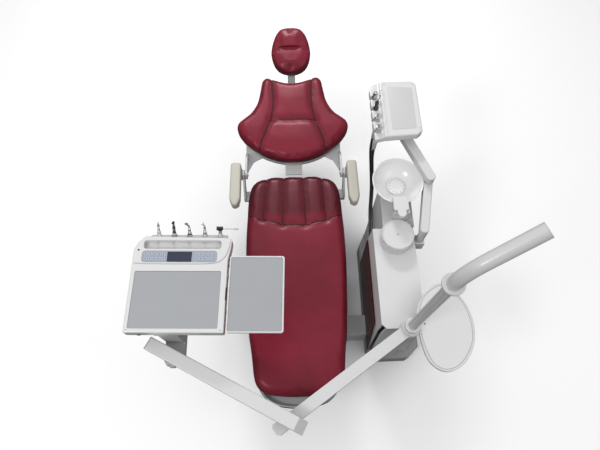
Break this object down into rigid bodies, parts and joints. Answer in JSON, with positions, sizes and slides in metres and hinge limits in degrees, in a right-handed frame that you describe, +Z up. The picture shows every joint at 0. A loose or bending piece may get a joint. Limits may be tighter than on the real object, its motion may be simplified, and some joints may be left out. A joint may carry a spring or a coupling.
{
  "type": "dental treatment unit",
  "caption": "Reclining dental patient chair on a parallelogram lift, joined to a tower with spittoon, delivery arm and tray, assistant holder, oval tray and light post.",
  "frame": {"origin": "centre of the floor bolt pattern, on the floor under the chair base", "axes": "+Z up, +Y from the leg rest towards the headrest, +X towards the spittoon tower"},
  "size_m": [1.4502, 2.2089, 1.7098],
  "materials": {
    "base_plate": "satin grey",
    "base_bracket": "satin white",
    "base_pins": "turned steel",
    "base_cover": "smooth light grey",
    "pump_unit": "cast",
    "link_duct": "smooth light grey",
    "lift_arm": "painted light grey",
    "tie_links": "satin",
    "seat_frame": "dark satin",
    "carrier_pins": "turned steel",
    "seat_cushion": "burgundy artificial leather over foam",
    "seat_shell": "smooth light grey",
    "hinge_plates": "white",
    "recline_pins": "turned steel",
    "back_cushion": "burgundy artificial leather over foam",
    "back_shell": "smooth light grey",
    "back_frame": "painted white",
    "headrest_stem": "painted white",
    "headrest_bracket": "painted white",
    "headrest_cushion": "burgundy artificial leather over foam",
    "armrest_left": "painted white",
    "armrest_right": "painted white",
    "armrest_pad_left": "beige grey soft plastic",
    "armrest_pad_right": "beige grey soft plastic",
    "tower_plinth": "grey",
    "tower_body": "white",
    "side_panel": "dark red translucent",
    "service_box": "grey",
    "spittoon_bowl": "white glaze",
    "bowl_strainer": "polished",
    "spout_block": "light grey",
    "cup_platform": "light grey",
    "assistant_bracket": "painted white",
    "assistant_lower_arm": "painted white",
    "assistant_upper_arm": "painted white",
    "assistant_holder": "white",
    "suction_handpiece": "grey",
    "saliva_handpiece": "grey",
    "suction_hose": "black",
    "saliva_hose": "black",
    "arm_post": "white",
    "swing_arm": "painted white",
    "elbow_block": "machined",
    "pantograph_arm": "painted white",
    "pantograph_link": "zinc",
    "arm_head": "machined",
    "tray_bracket": "painted light grey",
    "tray_body": "white",
    "tray_mat": "grey silicone",
    "keypad": "blue grey membrane",
    "side_tray": "white",
    "side_mat": "grey silicone",
    "air_syringe": "satin",
    "turbine": "satin",
    "contra_angle": "satin",
    "scaler": "satin",
    "camera_probe": "black",
    "oval_tray": "light grey",
    "light_post": "painted white",
    "light_arm": "painted white"
  },
  "bodies": {
    "base": {"base_plate": "base_plate", "base_bracket": "base_bracket", "base_pins": "base_pins", "base_cover": "base_cover", "pump_unit": "pump_unit", "link_duct": "link_duct", "tower_plinth": "tower_plinth", "tower_body": "tower_body", "side_panel": "side_panel", "service_box": "service_box", "spittoon_bowl": "spittoon_bowl", "spout_block": "spout_block", "cup_platform": "cup_platform", "assistant_bracket": "assistant_bracket", "assistant_lower_arm": "assistant_lower_arm", "suction_hose": "suction_hose", "saliva_hose": "saliva_hose", "arm_post": "arm_post", "light_post": "light_post"},
    "lift": {"lift_arm": "lift_arm"},
    "ties": {"tie_links": "tie_links"},
    "seat": {"seat_frame": "seat_frame", "carrier_pins": "carrier_pins", "seat_cushion": "seat_cushion", "seat_shell": "seat_shell", "hinge_plates": "hinge_plates", "recline_pins": "recline_pins"},
    "backrest": {"back_frame": "back_frame", "back_shell": "back_shell", "back_cushion": "back_cushion"},
    "head_stem": {"headrest_stem": "headrest_stem"},
    "headrest": {"headrest_bracket": "headrest_bracket", "headrest_cushion": "headrest_cushion"},
    "armrest_l": {"armrest_left": "armrest_left", "armrest_pad_left": "armrest_pad_left"},
    "armrest_r": {"armrest_right": "armrest_right", "armrest_pad_right": "armrest_pad_right"},
    "strainer": {"bowl_strainer": "bowl_strainer"},
    "assistant": {"assistant_upper_arm": "assistant_upper_arm", "assistant_holder": "assistant_holder"},
    "suction": {"suction_handpiece": "suction_handpiece"},
    "saliva": {"saliva_handpiece": "saliva_handpiece"},
    "swing": {"swing_arm": "swing_arm"},
    "elbow": {"elbow_block": "elbow_block"},
    "panto": {"pantograph_arm": "pantograph_arm"},
    "panto_link": {"pantograph_link": "pantograph_link"},
    "panto_head": {"arm_head": "arm_head"},
    "tray": {"tray_bracket": "tray_bracket", "tray_body": "tray_body", "keypad": "keypad"},
    "mat": {"tray_mat": "tray_mat"},
    "folding_tray": {"side_tray": "side_tray", "side_mat": "side_mat"},
    "syringe": {"air_syringe": "air_syringe"},
    "turbine_piece": {"turbine": "turbine"},
    "contra_piece": {"contra_angle": "contra_angle"},
    "scaler_piece": {"scaler": "scaler"},
    "camera_piece": {"camera_probe": "camera_probe"},
    "oval": {"oval_tray": "oval_tray"},
    "lamp_arm": {"light_arm": "light_arm"}
  },
  "joints": [
    {"name": "lift_pivot", "type": "hinge", "parent": "base", "child": "lift", "pos_m": [0, 0.26, 0.1], "axis": [-1, 0, 0], "range_deg": [0, 40]},
    {"name": "tie_pivot", "type": "hinge", "parent": "base", "child": "ties", "pos_m": [0, 0.26, 0.19], "axis": [-1, 0, 0], "range_deg": [-1, 41]},
    {"name": "seat_level", "type": "hinge", "parent": "lift", "child": "seat", "pos_m": [0, -0.19105, 0.26417], "axis": [1, 0, 0], "range_deg": [-1, 41]},
    {"name": "recline", "type": "hinge", "parent": "seat", "child": "backrest", "pos_m": [0, 0.6, 0.55], "axis": [1, 0, 0], "range_deg": [0, 62]},
    {"name": "headrest_height", "type": "slide", "parent": "backrest", "child": "head_stem", "axis": [0, 0.9903, 0.1392], "range_m": [0, 0.09]},
    {"name": "headrest_tilt", "type": "hinge", "parent": "head_stem", "child": "headrest", "pos_m": [0, 1.30746, 0.58177], "axis": [1, 0, 0], "range_deg": [-25, 20]},
    {"name": "armrest_fold_l", "type": "hinge", "parent": "seat", "child": "armrest_l", "pos_m": [-0.293, 0.6, 0.55], "axis": [1, 0, 0], "range_deg": [0, 85]},
    {"name": "armrest_fold_r", "type": "hinge", "parent": "seat", "child": "armrest_r", "pos_m": [0.293, 0.6, 0.55], "axis": [1, 0, 0], "range_deg": [0, 85]},
    {"name": "strainer_lift", "type": "slide", "parent": "base", "child": "strainer", "axis": [0, 0, 1], "range_m": [0, 0.12]},
    {"name": "assistant_swivel", "type": "hinge", "parent": "base", "child": "assistant", "pos_m": [0.648, 0.378, 0.86], "axis": [0, 0, 1], "range_deg": [-25, 4]},
    {"name": "suction_lift", "type": "slide", "parent": "assistant", "child": "suction", "axis": [0, 0, 1], "range_m": [0, 0.15]},
    {"name": "saliva_lift", "type": "slide", "parent": "assistant", "child": "saliva", "axis": [0, 0, 1], "range_m": [0, 0.15]},
    {"name": "swing_pivot", "type": "hinge", "parent": "base", "child": "swing", "pos_m": [0.491, -0.315, 0.76], "axis": [0, 0, 1], "range_deg": [-20, 60]},
    {"name": "elbow_pivot", "type": "hinge", "parent": "swing", "child": "elbow", "pos_m": [-0.046, -0.677, 0.797], "axis": [0, 0, 1], "range_deg": [-35, 60]},
    {"name": "pantograph_pivot", "type": "hinge", "parent": "elbow", "child": "panto", "pos_m": [-0.046, -0.677, 0.848], "axis": [0.4756, 0.8797, 0], "range_deg": [-15, 12]},
    {"name": "pantograph_link_pivot", "type": "hinge", "parent": "elbow", "child": "panto_link", "pos_m": [-0.046, -0.677, 0.822], "axis": [0.4756, 0.8797, 0], "range_deg": [-16, 13]},
    {"name": "head_level", "type": "hinge", "parent": "panto", "child": "panto_head", "pos_m": [-0.50957, -0.42635, 0.848], "axis": [0.4756, 0.8797, 0], "range_deg": [-13, 16]},
    {"name": "tray_swivel", "type": "hinge", "parent": "panto_head", "child": "tray", "pos_m": [-0.50957, -0.42635, 0.762], "axis": [0, 0, 1], "range_deg": [-28, 4]},
    {"name": "mat_lift", "type": "slide", "parent": "tray", "child": "mat", "axis": [0, 0, 1], "range_m": [0, 0.03]},
    {"name": "side_tray_fold", "type": "hinge", "parent": "tray", "child": "folding_tray", "pos_m": [-0.27736, -0.19642, 0.959], "axis": [0.0314, 0.9995, 0], "range_deg": [0, 88]},
    {"name": "syringe_lift", "type": "slide", "parent": "tray", "child": "syringe", "axis": [0.0222, 0.7068, 0.7071], "range_m": [0, 0.15]},
    {"name": "turbine_lift", "type": "slide", "parent": "tray", "child": "turbine_piece", "axis": [0.0222, 0.7068, 0.7071], "range_m": [0, 0.15]},
    {"name": "contra_angle_lift", "type": "slide", "parent": "tray", "child": "contra_piece", "axis": [0.0222, 0.7068, 0.7071], "range_m": [0, 0.15]},
    {"name": "scaler_lift", "type": "slide", "parent": "tray", "child": "scaler_piece", "axis": [0.0222, 0.7068, 0.7071], "range_m": [0, 0.15]},
    {"name": "camera_lift", "type": "slide", "parent": "tray", "child": "camera_piece", "axis": [0.0222, 0.7068, 0.7071], "range_m": [0, 0.15]},
    {"name": "oval_tray_swivel", "type": "hinge", "parent": "base", "child": "oval", "pos_m": [0.491, -0.315, 0.797], "axis": [0, 0, 1], "range_deg": [-60, 60]},
    {"name": "light_swivel", "type": "hinge", "parent": "base", "child": "lamp_arm", "pos_m": [0.491, -0.315, 1.42], "axis": [0, 0, 1], "range_deg": [-90, 90]}
  ],
  "couplings": [
    {"joint": "tie_pivot", "follows": "lift_pivot", "ratio": 1},
    {"joint": "seat_level", "follows": "lift_pivot", "ratio": 1},
    {"joint": "pantograph_link_pivot", "follows": "pantograph_pivot", "ratio": 1},
    {"joint": "head_level", "follows": "pantograph_pivot", "ratio": -1}
  ]
}
